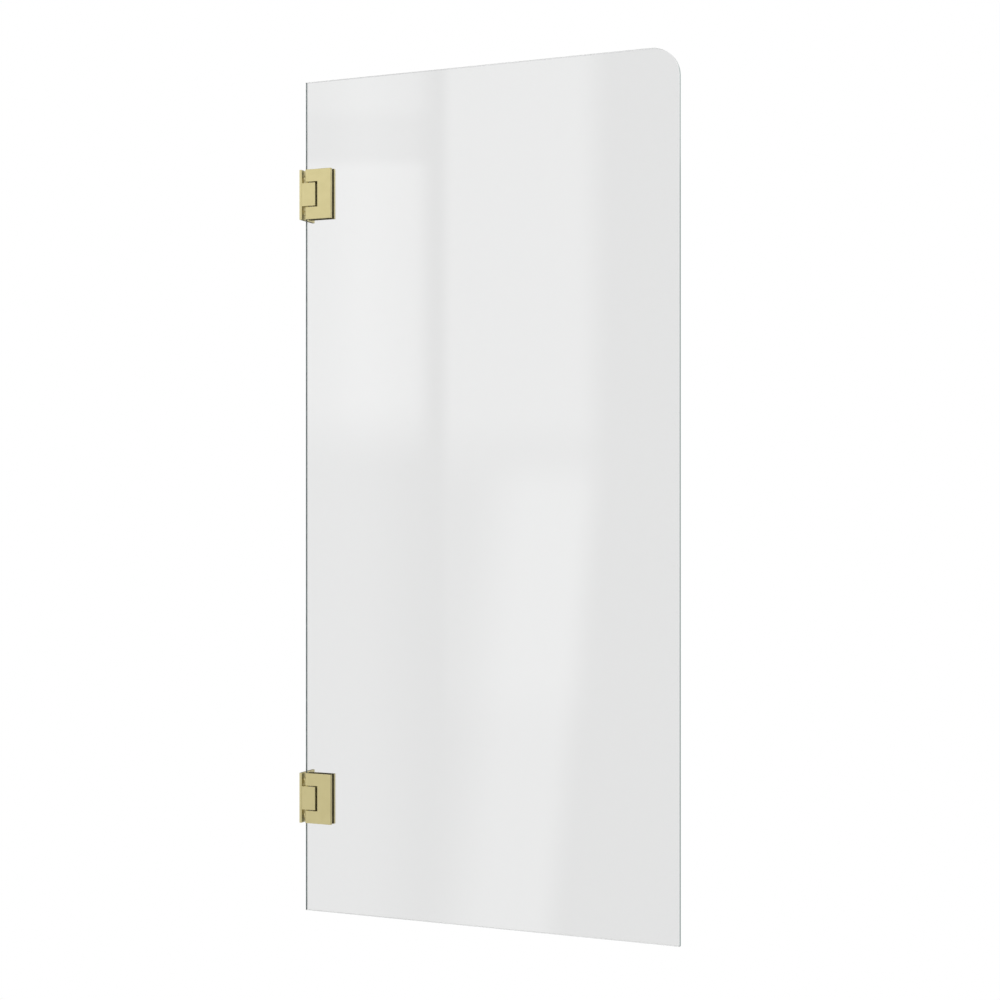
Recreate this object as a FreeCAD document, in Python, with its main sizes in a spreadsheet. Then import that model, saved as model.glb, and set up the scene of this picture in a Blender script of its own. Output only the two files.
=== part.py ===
import FreeCAD, Part
import math
import os
import Sketcher

# Wall-hinged glass bath screen, in millimetres.
#
# X runs from the wall (X = 0) along the pane, Y runs through the pane, away from its front
# face, and Z is up. The origin is the centre of the lower wall plate's back face, where the
# screen is screwed to the wall. Both hinges are made of the same parts, one hinge spacing apart.

DIMENSIONS = {
    # Glass pane
    "pane_width": 698,
    "pane_height": 1480,
    "pane_thickness": 8,
    "pane_corner_radius": 49,
    "pane_arris": 0.8,
    "pane_wall_gap": 8.6,
    "pane_set_forward": 14.5,
    # Hinges: how far each one's middle is from the pane's end, and how tall it is
    "hinge_inset": 201.5,
    "hinge_height": 89,
    # Wall plate
    "plate_width": 51,
    "plate_thickness": 4.8,
    "plate_bevel": 0.6,
    "wall_hole_diameter": 5.6,
    "wall_head_diameter": 11,
    "wall_hole_side_edge": 14,
    "wall_hole_end_edge": 12.75,
    # Clamp plates and gaskets
    "clamp_start": 11.6,
    "clamp_width": 51.2,
    "clamp_thickness": 5.9,
    "clamp_bevel": 0.5,
    "gasket_thickness": 1,
    "gasket_inset": 0.5,
    # Room for the swing: bevels, and the least gaps as corners pass
    "swing_bevel": 0.5,
    "plate_clearance": 1.74,
    "notch_clearance": 0.18,
    # Pivot block
    "block_height": 41.5,
    "block_nose": 11.5,
    "block_bevel": 0.5,
    "block_side_gap": 1.6,
    # Lugs on the back clamp, and the cut-out in the glass round them
    "lug_height": 10,
    "lug_nose": 9,
    "lug_wall": 1,
    "cutout_side_gap": 0.65,
    "cutout_end_gap": 1.5,
    "ear_radius": 7,
    "ear_offset": 4.5,
    # Pivot pin and bushes
    "pin_end_inset": 0.5,
    "pin_seat_clearance": 0.02,
    "pin_end_bevel": 0.5,
    "bush_clearance": 0.05,
    "bush_wall": 1.45,
    "bush_length": 10,
    "flange_rim": 1.5,
    "flange_clearance": 0.1,
    "bore_relief": 0.5,
    # Detent
    "flat_depth": 0.8,
    "flat_end_gap": 1,
    "shoe_diameter": 8,
    "shoe_length": 5,
    "shoe_clearance": 0.05,
    "shoe_pin_gap": 0.1,
    "spring_wire": 1,
    "spring_side_gap": 0.5,
    "spring_turns": 2.5,
    "spring_end_gap": 0.1,
    # Screws
    "screw_diameter": 5,
    "screw_head_diameter": 10,
    "screw_hex": 3,
    "screw_hex_depth": 2.2,
    "screw_tip_gap": 0.3,
    "thread_fit": 0.02,
    "block_screw_edge": 6.25,
    "block_screw_wall": 1.5,
    "front_thread_wall": 1.7,
    "set_screw_diameter": 4,
    "set_screw_recess": 0.9,
    "set_screw_hex": 2,
    "set_screw_hex_depth": 2,
}

# Places that several features share, as expressions on the sheet.
HINGE_SPACING = "(Dims.pane_height - 2 * Dims.hinge_inset)"
HALF_HINGE = "(Dims.hinge_height / 2)"

PANE_LEFT = "Dims.pane_wall_gap"
PANE_RIGHT = "(Dims.pane_wall_gap + Dims.pane_width)"
PANE_BOTTOM = "-Dims.hinge_inset"
PANE_TOP = "(Dims.pane_height - Dims.hinge_inset)"
MIDDLE = "-Dims.pane_set_forward"
PANE_BACK = "(Dims.pane_thickness / 2 - Dims.pane_set_forward)"
PANE_FRONT = "(-Dims.pane_thickness / 2 - Dims.pane_set_forward)"

HALF_GAP = "(Dims.pane_thickness / 2 + Dims.gasket_thickness)"
HALF_LEAF = f"({HALF_GAP} + Dims.clamp_thickness)"
CLAMP_BACK_INNER = f"({HALF_GAP} - Dims.pane_set_forward)"
CLAMP_BACK_OUTER = f"({HALF_LEAF} - Dims.pane_set_forward)"
CLAMP_FRONT_INNER = f"(-{HALF_GAP} - Dims.pane_set_forward)"
CLAMP_FRONT_OUTER = f"(-{HALF_LEAF} - Dims.pane_set_forward)"
CLAMP_RIGHT = "(Dims.clamp_start + Dims.clamp_width)"

# The pin stands where the leaf's bevelled corner, a distance BEVEL_START from the wall, passes
# the wall plate with the stated clearance: (reach - BEVEL_START)^2 + HALF_LEAF^2
# = (reach - PLATE_LIMIT)^2.
BEVEL_START = "(Dims.clamp_start + Dims.swing_bevel)"
PLATE_LIMIT = "(Dims.plate_thickness + Dims.plate_clearance)"
PIN_REACH = (
    f"(({BEVEL_START}^2 + {HALF_LEAF}^2 - {PLATE_LIMIT}^2) / (2 * ({BEVEL_START} - {PLATE_LIMIT})))"
)
PIN_RADIUS = f"({HALF_GAP} - Dims.lug_wall)"
BLOCK_REACH = f"({PIN_REACH} + Dims.block_nose)"
BLOCK_SWING = f"sqrt((Dims.block_nose - Dims.swing_bevel)^2 + {HALF_LEAF}^2)"
HALF_BLOCK = "(Dims.block_height / 2)"
NOTCH_RIGHT = f"({PIN_REACH} + {BLOCK_SWING} + Dims.notch_clearance)"
HALF_NOTCH = f"({HALF_BLOCK} + Dims.block_side_gap)"

LUG_TOP = f"({HALF_NOTCH} + Dims.lug_height)"
LUG_MIDDLE = f"({HALF_NOTCH} + Dims.lug_height / 2)"
LUG_LEFT = "Dims.clamp_start"
LUG_RIGHT = f"({PIN_REACH} + Dims.lug_nose)"
HALF_CUTOUT = f"({LUG_TOP} + Dims.cutout_side_gap)"
CUTOUT_RIGHT = f"({NOTCH_RIGHT} + Dims.cutout_end_gap)"
EAR_X = f"({NOTCH_RIGHT} + Dims.ear_offset)"
EAR_Z = f"({HALF_CUTOUT} - Dims.ear_radius)"

BUSH_INNER = f"({PIN_RADIUS} + Dims.bush_clearance)"
BUSH_OUTER = f"({BUSH_INNER} + Dims.bush_wall)"
FLANGE_RADIUS = f"({BUSH_OUTER} + Dims.flange_rim)"
SHOE_TIP = f"({PIN_REACH} - {PIN_RADIUS} - Dims.shoe_pin_gap)"
SHOE_TAIL = f"({SHOE_TIP} - Dims.shoe_length)"

SCREW_HOLE = "Dims.screw_diameter + 2 * Dims.thread_fit"
SCREW_SINK = "Dims.screw_head_diameter + 2 * Dims.thread_fit"
BLOCK_SCREW_Z = f"({HALF_BLOCK} - Dims.block_screw_edge)"
BLOCK_SCREW_LENGTH = f"({PIN_REACH} - {BUSH_OUTER} - Dims.block_screw_wall)"
THREAD_DEPTH = "(Dims.clamp_thickness - Dims.front_thread_wall)"
CLAMP_SCREW_LENGTH = (
    f"(Dims.clamp_thickness + 2 * {HALF_GAP} + {THREAD_DEPTH} - Dims.screw_tip_gap)"
)
SET_SCREW_LENGTH = f"({HALF_LEAF} - {PIN_RADIUS} - Dims.set_screw_recess)"

doc = FreeCAD.newDocument("BathScreen")
sheet = doc.addObject("Spreadsheet::Sheet", "Dims")
for row, (alias, number) in enumerate(DIMENSIONS.items(), start=1):
    sheet.set(f"A{row}", alias)
    sheet.set(f"B{row}", str(number))
    sheet.setAlias(f"B{row}", alias)
doc.recompute()

# How each piece is turned: a screw is drawn along its own Z, from its head to its tip.
TOWARDS_PLUS_X = FreeCAD.Rotation(FreeCAD.Vector(0, 1, 0), 90)
TOWARDS_MINUS_Y = FreeCAD.Rotation(FreeCAD.Vector(1, 0, 0), 90)

# Two places are the same when they are nearer than this.
TOLERANCE = 1e-4


# ---------------------------------------------------------------- sketches and features

def new_body(name):
    """A PartDesign body whose label is the piece's name."""
    body = doc.addObject("PartDesign::Body", name)
    body.Label = name
    return body


def new_sketch(body, plane, level):
    """A sketch on the body's own origin plane, at a level along that plane's axis."""
    outward = {"XY": "1", "XZ": "-1", "YZ": "1"}[plane]
    sketch = body.newObject("Sketcher::SketchObject", "Sketch")
    support = [f for f in body.Origin.OriginFeatures if f.Role == plane + "_Plane"][0]
    sketch.AttachmentSupport = [(support, "")]
    sketch.MapMode = "FlatFace"
    sketch.setExpression("AttachmentOffset.Base.z", f"{outward} * ({level})")
    return sketch


def bind(sketch, kind, *parts):
    """Adds one dimension to a sketch and binds it to an expression."""
    *where, expression = parts
    index = sketch.addConstraint(Sketcher.Constraint(kind, *where, 1.0))
    sketch.setExpression(f"Constraints[{index}]", expression)


def add_polygon(sketch, corners):
    """A closed outline whose corners are pairs of expressions, drawn roughly round first."""
    first = sketch.GeometryCount
    count = len(corners)
    turn = 2 * math.pi / count
    rough = [FreeCAD.Vector(math.cos(i * turn), math.sin(i * turn), 0) for i in range(count)]
    for i in range(count):
        sketch.addGeometry(Part.LineSegment(rough[i], rough[(i + 1) % count]), False)
    for i, (across, up) in enumerate(corners):
        line = first + i
        following = first + (i + 1) % count
        sketch.addConstraint(Sketcher.Constraint("Coincident", line, 2, following, 1))
        bind(sketch, "DistanceX", -1, 1, line, 1, across)
        bind(sketch, "DistanceY", -1, 1, line, 1, up)


def add_rectangle(sketch, left, right, bottom, top):
    """A rectangle from four expressions."""
    add_polygon(sketch, [(left, bottom), (right, bottom), (right, top), (left, top)])


def add_circle(sketch, across, up, radius):
    """A circle from three expressions."""
    index = sketch.addGeometry(Part.Circle(FreeCAD.Vector(), FreeCAD.Vector(0, 0, 1), 1), False)
    bind(sketch, "DistanceX", -1, 1, index, 3, across)
    bind(sketch, "DistanceY", -1, 1, index, 3, up)
    bind(sketch, "Radius", index, radius)


def pad(body, sketch, length):
    """Grows a sketch along its normal."""
    feature = body.newObject("PartDesign::Pad", "Pad")
    feature.Profile = sketch
    feature.setExpression("Length", length)
    doc.recompute()
    return feature


def cut(body, kind, sketch, **settings):
    """Cuts a pocket or a hole, and stops if nothing was removed."""
    before = body.Shape.Volume
    feature = body.newObject("PartDesign::" + kind, kind)
    feature.Profile = sketch
    for name, value in settings.items():
        if name in ("Length", "Depth", "Diameter", "HoleCutDiameter"):
            feature.setExpression(name, value)
        else:
            setattr(feature, name, value)
    doc.recompute()
    if not body.Shape.Volume < before:
        raise RuntimeError(f"{body.Label}: {feature.Name} removed nothing")
    return feature


def drill(body, sketch, diameter, head=None, depth=None, reverse=False):
    """Drills holes at the sketch's circles, with a countersink where a head is given."""
    doc.recompute()
    settings = {"ThreadType": "None", "Reversed": reverse, "Diameter": diameter}
    if depth is None:
        settings["DepthType"] = "ThroughAll"
    else:
        settings["DepthType"] = "Dimension"
        settings["Depth"] = depth
        settings["DrillPoint"] = "Flat"
    if head is not None:
        settings["HoleCutType"] = "Countersink"
        settings["HoleCutCustomValues"] = True
        settings["HoleCutDiameter"] = head
        settings["HoleCutCountersinkAngle"] = 90
    return cut(body, "Hole", sketch, **settings)


def revolve(body, sketch):
    """Turns a sketch in the XZ plane round the Z axis."""
    feature = body.newObject("PartDesign::Revolution", "Revolution")
    feature.Profile = sketch
    axis = [f for f in body.Origin.OriginFeatures if f.Role == "Z_Axis"][0]
    feature.ReferenceAxis = (axis, [""])
    feature.Angle = 360
    doc.recompute()
    return feature


def dress_edges(body, kind, setting, size, wanted):
    """Adds a chamfer or a fillet to the edges of the body whose middle point passes a test."""
    base = body.Tip
    names = []
    for i, edge in enumerate(base.Shape.Edges, start=1):
        middle = edge.valueAt((edge.FirstParameter + edge.LastParameter) / 2)
        if wanted(edge, middle):
            names.append(f"Edge{i}")
    feature = body.newObject("PartDesign::" + kind, kind)
    feature.Base = (base, names)
    feature.setExpression(setting, size)
    doc.recompute()
    return feature


def bevel(body, size, wanted):
    """Bevels edges at 45 degrees."""
    return dress_edges(body, "Chamfer", "Size", size, wanted)


def round_off(body, radius, wanted):
    """Rounds edges."""
    return dress_edges(body, "Fillet", "Radius", radius, wanted)


def value_of(expression):
    """The number that an expression on the sheet has now."""
    return float(sheet.evalExpression(expression))


def near(value, expression):
    """Whether a coordinate lies at the place that an expression gives."""
    return abs(value - value_of(expression)) < TOLERANCE


def is_upright(edge):
    """Whether an edge is straight and parallel to Z."""
    ends = [vertex.Point for vertex in edge.Vertexes]
    return len(ends) == 2 and math.dist(ends[0][:2], ends[1][:2]) < TOLERANCE


# ---------------------------------------------------------------- glass pane

def cut_cutout(body, start, depth, centre):
    """Cuts a deep slot, open towards the wall, with a round ear at each inner corner."""
    slot = new_sketch(body, "XZ", start)
    add_rectangle(
        slot, "0", CUTOUT_RIGHT, f"{centre} - {HALF_CUTOUT}", f"{centre} + {HALF_CUTOUT}"
    )
    cut(body, "Pocket", slot, Length=depth, Reversed=True)
    for side in ("-", "+"):
        ear = new_sketch(body, "XZ", start)
        add_circle(ear, EAR_X, f"{centre} {side} {EAR_Z}", "Dims.ear_radius")
        cut(body, "Pocket", ear, Length=depth, Reversed=True)


def make_pane():
    """The glass: a flat sheet, one round corner, polished arrises and a cut-out per hinge."""
    body = new_body("glass_panel")
    outline = new_sketch(body, "XZ", PANE_BACK)
    add_rectangle(outline, PANE_LEFT, PANE_RIGHT, PANE_BOTTOM, PANE_TOP)
    pad(body, outline, "Dims.pane_thickness")
    round_off(
        body,
        "Dims.pane_corner_radius",
        lambda edge, middle: near(middle.x, PANE_RIGHT)
        and near(middle.z, PANE_TOP)
        and near(middle.y, MIDDLE),
    )
    bevel(
        body,
        "Dims.pane_arris",
        lambda edge, middle: near(middle.y, PANE_FRONT) or near(middle.y, PANE_BACK),
    )
    for centre in ("0", HINGE_SPACING):
        cut_cutout(body, PANE_BACK, "Dims.pane_thickness", centre)
    return body


# ---------------------------------------------------------------- screws

def make_screw(name, length, turned, place):
    """A countersunk socket screw: head top at its own origin, tip along its own Z."""
    body = new_body(name)
    radius = "Dims.screw_diameter / 2"
    head = "Dims.screw_head_diameter / 2"
    profile = new_sketch(body, "XZ", "0")
    add_polygon(
        profile,
        [("0", "0"), (head, "0"), (radius, f"{head} - {radius}"), (radius, length), ("0", length)],
    )
    revolve(body, profile)
    cut_hex(body, "Dims.screw_hex", "Dims.screw_hex_depth")
    place_piece(body, turned, place)
    return body


def make_set_screw(name, turned, place):
    """A headless socket screw, drawn like the other screws."""
    body = new_body(name)
    outline = new_sketch(body, "XY", "0")
    add_circle(outline, "0", "0", "Dims.set_screw_diameter / 2")
    pad(body, outline, SET_SCREW_LENGTH)
    cut_hex(body, "Dims.set_screw_hex", "Dims.set_screw_hex_depth")
    place_piece(body, turned, place)
    return body


def cut_hex(body, across_flats, depth):
    """A hexagonal socket, sunk into the end at the piece's own origin."""
    socket = new_sketch(body, "XY", "0")
    corners = []
    for i in range(6):
        corner = f"{across_flats} / sqrt(3)"
        corners.append((f"{corner} * cos({60 * i})", f"{corner} * sin({60 * i})"))
    add_polygon(socket, corners)
    cut(body, "Pocket", socket, Length=depth, Reversed=True)


def place_piece(piece, turned, place):
    """Turns a piece and binds its place to the sheet."""
    piece.Placement = FreeCAD.Placement(FreeCAD.Vector(), turned)
    for axis, expression in zip("xyz", place):
        piece.setExpression(f"Placement.Base.{axis}", expression)


def group(name, pieces):
    """Several like pieces in one node, as separate solids."""
    compound = doc.addObject("Part::Compound", name)
    compound.Label = name
    compound.Links = pieces
    return compound


# ---------------------------------------------------------------- wall side of a hinge

def make_wall_plate(name, centre):
    """Brass plate on the wall: four countersunk holes, and two from behind for the block."""
    body = new_body(name)
    outline = new_sketch(body, "YZ", "0")
    half_width = "Dims.plate_width / 2"
    add_rectangle(outline, "-" + half_width, half_width, "-" + HALF_HINGE, HALF_HINGE)
    pad(body, outline, "Dims.plate_thickness")
    bevel(body, "Dims.plate_bevel", lambda edge, middle: near(middle.x, "Dims.plate_thickness"))
    wall_holes = new_sketch(body, "YZ", "Dims.plate_thickness")
    for column in ("-", ""):
        for row in ("-", ""):
            add_circle(
                wall_holes,
                f"{column}({half_width} - Dims.wall_hole_side_edge)",
                f"{row}({HALF_HINGE} - Dims.wall_hole_end_edge)",
                "Dims.wall_hole_diameter / 2",
            )
    drill(body, wall_holes, "Dims.wall_hole_diameter", "Dims.wall_head_diameter")
    block_holes = new_sketch(body, "YZ", "0")
    for row in ("-", ""):
        add_circle(block_holes, MIDDLE, row + BLOCK_SCREW_Z, "Dims.screw_diameter / 2")
    drill(body, block_holes, SCREW_HOLE, SCREW_SINK, reverse=True)
    place_piece(body, FreeCAD.Rotation(), ("0", "0", centre))
    return body


def make_block(name, centre):
    """Brass pivot block: pin bore with a seat for each bush, detent bore and screw holes."""
    body = new_body(name)
    outline = new_sketch(body, "XY", "-" + HALF_BLOCK)
    add_rectangle(
        outline, "Dims.plate_thickness", BLOCK_REACH, CLAMP_FRONT_OUTER, CLAMP_BACK_OUTER
    )
    pad(body, outline, "Dims.block_height")
    bevel(
        body,
        "Dims.swing_bevel",
        lambda edge, middle: near(middle.x, BLOCK_REACH) and is_upright(edge),
    )
    bevel(
        body,
        "Dims.block_bevel",
        lambda edge, middle: near(abs(middle.z), HALF_BLOCK)
        and not near(middle.x, "Dims.plate_thickness"),
    )
    bore = new_sketch(body, "XY", "0")
    add_circle(bore, PIN_REACH, MIDDLE, f"{PIN_RADIUS} + Dims.bore_relief")
    cut(body, "Pocket", bore, Type="ThroughAll", Midplane=True)
    for side, reverse in (("", False), ("-", True)):
        seat = new_sketch(body, "XY", side + HALF_BLOCK)
        add_circle(seat, PIN_REACH, MIDDLE, BUSH_OUTER)
        cut(body, "Pocket", seat, Length="Dims.bush_length", Reversed=reverse)
    detent = new_sketch(body, "YZ", "Dims.plate_thickness")
    add_circle(detent, MIDDLE, "0", "Dims.shoe_diameter / 2 + Dims.shoe_clearance")
    cut(body, "Pocket", detent, Length=f"{PIN_REACH} - Dims.plate_thickness", Reversed=True)
    threads = new_sketch(body, "YZ", "Dims.plate_thickness")
    for row in ("-", ""):
        add_circle(threads, MIDDLE, row + BLOCK_SCREW_Z, "Dims.screw_diameter / 2")
    depth = f"{BLOCK_SCREW_LENGTH} - Dims.plate_thickness + Dims.screw_tip_gap"
    drill(body, threads, SCREW_HOLE, depth=depth, reverse=True)
    place_piece(body, FreeCAD.Rotation(), ("0", "0", centre))
    return body


def make_bush(name, centre, side):
    """Flanged bush: its sleeve sits in the block, its flange carries the leaf's lug."""
    body = new_body(name)
    inner_end = f"{HALF_BLOCK} - Dims.bush_length"
    outer_end = f"{HALF_NOTCH} - Dims.flange_clearance"
    profile = new_sketch(body, "XZ", "0")
    add_polygon(
        profile,
        [
            (BUSH_INNER, inner_end),
            (BUSH_OUTER, inner_end),
            (BUSH_OUTER, HALF_BLOCK),
            (FLANGE_RADIUS, HALF_BLOCK),
            (FLANGE_RADIUS, outer_end),
            (BUSH_INNER, outer_end),
        ],
    )
    revolve(body, profile)
    upside_down = FreeCAD.Rotation(FreeCAD.Vector(1, 0, 0), 180 if side == "lower" else 0)
    place_piece(body, upside_down, (PIN_REACH, MIDDLE, centre))
    return body


def make_shoe(name, centre):
    """Detent shoe: a short plunger whose flat end faces the pin."""
    body = new_body(name)
    outline = new_sketch(body, "YZ", SHOE_TAIL)
    add_circle(outline, MIDDLE, "0", "Dims.shoe_diameter / 2")
    pad(body, outline, "Dims.shoe_length")
    place_piece(body, FreeCAD.Rotation(), ("0", "0", centre))
    return body


def make_spring(name, centre):
    """Detent spring: a short coil from the wall plate to the shoe."""
    wire = doc.addObject("Part::Circle", name + "_wire")
    coil = doc.addObject("Part::Helix", name + "_line")
    length = f"({SHOE_TAIL} - Dims.plate_thickness - Dims.spring_end_gap - Dims.spring_wire)"
    mean = "(Dims.shoe_diameter / 2 - Dims.spring_side_gap - Dims.spring_wire / 2)"
    coil.setExpression("Radius", mean)
    coil.setExpression("Height", length)
    coil.setExpression("Pitch", f"{length} / Dims.spring_turns")
    wire.setExpression("Radius", "Dims.spring_wire / 2")
    wire.Placement = FreeCAD.Placement(FreeCAD.Vector(), TOWARDS_MINUS_Y)
    wire.setExpression("Placement.Base.x", mean)
    spring = doc.addObject("Part::Sweep", name)
    spring.Label = name
    spring.Sections = [wire]
    spring.Spine = coil
    spring.Solid = True
    spring.Frenet = True
    place_piece(
        spring,
        TOWARDS_PLUS_X,
        ("Dims.plate_thickness + Dims.spring_wire / 2", MIDDLE, centre),
    )
    return spring


# ---------------------------------------------------------------- glass side of a hinge

def add_clamp_outline(sketch, inset):
    """The clamp's C: a rectangle, open towards the wall for the block."""
    right = f"({CLAMP_RIGHT} - {inset})"
    left = f"(Dims.clamp_start + {inset})"
    top = f"({HALF_HINGE} - {inset})"
    add_polygon(
        sketch,
        [
            (left, "-" + top),
            (right, "-" + top),
            (right, top),
            (left, top),
            (left, HALF_NOTCH),
            (NOTCH_RIGHT, HALF_NOTCH),
            (NOTCH_RIGHT, "-" + HALF_NOTCH),
            (left, "-" + HALF_NOTCH),
        ],
    )


def bevel_clamp(body, outer):
    """Wide bevels on the edges that swing past the wall plate, narrow ones on the others."""
    bevel(
        body,
        "Dims.swing_bevel",
        lambda edge, middle: near(middle.x, "Dims.clamp_start")
        and near(middle.y, outer)
        and is_upright(edge),
    )
    bevel(
        body,
        "Dims.clamp_bevel",
        lambda edge, middle: near(middle.y, outer)
        and middle.x > value_of(BEVEL_START) + TOLERANCE,
    )


def make_front_clamp(name, centre):
    """Front clamp plate: smooth outside, with blind threaded holes for the clamp screws."""
    body = new_body(name)
    outline = new_sketch(body, "XZ", CLAMP_FRONT_INNER)
    add_clamp_outline(outline, "0")
    pad(body, outline, "Dims.clamp_thickness")
    bevel_clamp(body, CLAMP_FRONT_OUTER)
    threads = new_sketch(body, "XZ", CLAMP_FRONT_INNER)
    for side in ("-", ""):
        add_circle(threads, EAR_X, side + EAR_Z, "Dims.screw_diameter / 2")
    drill(body, threads, SCREW_HOLE, depth=THREAD_DEPTH, reverse=True)
    place_piece(body, FreeCAD.Rotation(), ("0", "0", centre))
    return body


def make_back_clamp(name, centre):
    """Back clamp plate: two lugs fill the glass cut-out and hold the pivot pin's ends."""
    body = new_body(name)
    outline = new_sketch(body, "XZ", CLAMP_BACK_OUTER)
    add_clamp_outline(outline, "0")
    pad(body, outline, "Dims.clamp_thickness")
    bevel_clamp(body, CLAMP_BACK_OUTER)
    for low, high in ((HALF_NOTCH, LUG_TOP), ("-" + LUG_TOP, "-" + HALF_NOTCH)):
        lug = new_sketch(body, "XZ", CLAMP_BACK_INNER)
        add_rectangle(lug, LUG_LEFT, LUG_RIGHT, low, high)
        pad(body, lug, f"2 * {HALF_GAP}")
    bore = new_sketch(body, "XY", "0")
    add_circle(bore, PIN_REACH, MIDDLE, f"{PIN_RADIUS} + Dims.pin_seat_clearance")
    cut(body, "Pocket", bore, Type="ThroughAll", Midplane=True)
    screws = new_sketch(body, "XZ", CLAMP_BACK_OUTER)
    for side in ("-", ""):
        add_circle(screws, EAR_X, side + EAR_Z, "Dims.screw_diameter / 2")
    drill(body, screws, SCREW_HOLE, SCREW_SINK, reverse=True)
    set_screws = new_sketch(body, "XZ", CLAMP_BACK_OUTER)
    for side in ("-", ""):
        add_circle(set_screws, PIN_REACH, side + LUG_MIDDLE, "Dims.set_screw_diameter / 2")
    hole = "Dims.set_screw_diameter + 2 * Dims.thread_fit"
    drill(body, set_screws, hole, depth=HALF_LEAF, reverse=True)
    place_piece(body, FreeCAD.Rotation(), ("0", "0", centre))
    return body


def make_gasket(name, centre, start):
    """Gasket between a clamp plate and the glass, cut out where the glass is."""
    body = new_body(name)
    outline = new_sketch(body, "XZ", start)
    inset = "Dims.gasket_inset"
    add_rectangle(
        outline,
        f"Dims.clamp_start + {inset}",
        f"{CLAMP_RIGHT} - {inset}",
        f"-{HALF_HINGE} + {inset}",
        f"{HALF_HINGE} - {inset}",
    )
    pad(body, outline, "Dims.gasket_thickness")
    cut_cutout(body, start, "Dims.gasket_thickness", "0")
    place_piece(body, FreeCAD.Rotation(), ("0", "0", centre))
    return body


def make_pin(name, centre):
    """Pivot pin with three flats, where the detent holds the leaf: closed, and open each way."""
    body = new_body(name)
    end = f"({LUG_TOP} - Dims.pin_end_inset)"
    outline = new_sketch(body, "XY", "-" + end)
    add_circle(outline, "0", "0", PIN_RADIUS)
    pad(body, outline, "2 * " + end)
    bevel(body, "Dims.pin_end_bevel", lambda edge, middle: near(abs(middle.z), end))
    flat = f"({PIN_RADIUS} - Dims.flat_depth)"
    half_flat = "(Dims.shoe_diameter / 2 + Dims.flat_end_gap)"
    beyond = f"(2 * {PIN_RADIUS})"
    strips = (
        ("-" + beyond, "-" + flat, "-" + beyond, beyond),
        ("-" + beyond, beyond, flat, beyond),
        ("-" + beyond, beyond, "-" + beyond, "-" + flat),
    )
    for left, right, low, high in strips:
        strip = new_sketch(body, "XY", half_flat)
        add_rectangle(strip, left, right, low, high)
        cut(body, "Pocket", strip, Length="2 * " + half_flat)
    place_piece(body, FreeCAD.Rotation(), (PIN_REACH, MIDDLE, centre))
    return body


# ---------------------------------------------------------------- assembly

def make_hinge(side, centre):
    """All the pieces of one hinge, in the order in which it goes together."""
    rows = (("a", "-"), ("b", ""))
    plate = make_wall_plate(f"{side}_wall_plate", centre)
    block = make_block(f"{side}_pivot_block", centre)
    block_screws = group(
        f"{side}_block_screws",
        [
            make_screw(
                f"{side}_block_screw_{letter}",
                BLOCK_SCREW_LENGTH,
                TOWARDS_PLUS_X,
                ("0", MIDDLE, f"{centre} + {sign}{BLOCK_SCREW_Z}"),
            )
            for letter, sign in rows
        ],
    )
    bushes = group(
        f"{side}_pivot_bushes",
        [
            make_bush(f"{side}_bush_{letter}", centre, end)
            for letter, end in (("a", "lower"), ("b", "upper"))
        ],
    )
    spring = make_spring(f"{side}_detent_spring", centre)
    shoe = make_shoe(f"{side}_detent_shoe", centre)
    pin = make_pin(f"{side}_pivot_pin", centre)
    back_clamp = make_back_clamp(f"{side}_back_clamp", centre)
    set_screws = group(
        f"{side}_pin_set_screws",
        [
            make_set_screw(
                f"{side}_set_screw_{letter}",
                TOWARDS_MINUS_Y,
                (
                    PIN_REACH,
                    f"{MIDDLE} + {PIN_RADIUS} + {SET_SCREW_LENGTH}",
                    f"{centre} + {sign}{LUG_MIDDLE}",
                ),
            )
            for letter, sign in rows
        ],
    )
    back_gasket = make_gasket(f"{side}_back_gasket", centre, CLAMP_BACK_INNER)
    front_gasket = make_gasket(f"{side}_front_gasket", centre, PANE_FRONT)
    front_clamp = make_front_clamp(f"{side}_front_clamp", centre)
    clamp_screws = group(
        f"{side}_clamp_screws",
        [
            make_screw(
                f"{side}_clamp_screw_{letter}",
                CLAMP_SCREW_LENGTH,
                TOWARDS_MINUS_Y,
                (EAR_X, CLAMP_BACK_OUTER, f"{centre} + {sign}{EAR_Z}"),
            )
            for letter, sign in rows
        ],
    )
    return [
        plate,
        block,
        block_screws,
        bushes,
        spring,
        shoe,
        pin,
        back_clamp,
        set_screws,
        back_gasket,
        front_gasket,
        front_clamp,
        clamp_screws,
    ]


nodes = [make_pane()]
for side, centre in (("lower", "0"), ("upper", HINGE_SPACING)):
    nodes += make_hinge(side, centre)
doc.recompute()

for item in doc.Objects:
    if "Invalid" in item.State or "Error" in item.State:
        raise RuntimeError(f"{item.Label} failed: {item.State}")
for node in nodes:
    if node.Shape.isNull() or not node.Shape.isValid():
        raise RuntimeError(f"{node.Label} has no valid shape")

os.makedirs("parts", exist_ok=True)
for node in nodes:
    node.Shape.exportStep(f"parts/{node.Label}.step")
    print(node.Label, len(node.Shape.Solids), round(node.Shape.Volume, 1))
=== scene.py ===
"""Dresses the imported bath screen: one glass pane on two satin brass wall hinges."""

import logging
import math
from dataclasses import dataclass
from enum import Enum
from typing import Any

import bmesh
import bpy
from mathutils import Matrix, Vector


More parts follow.
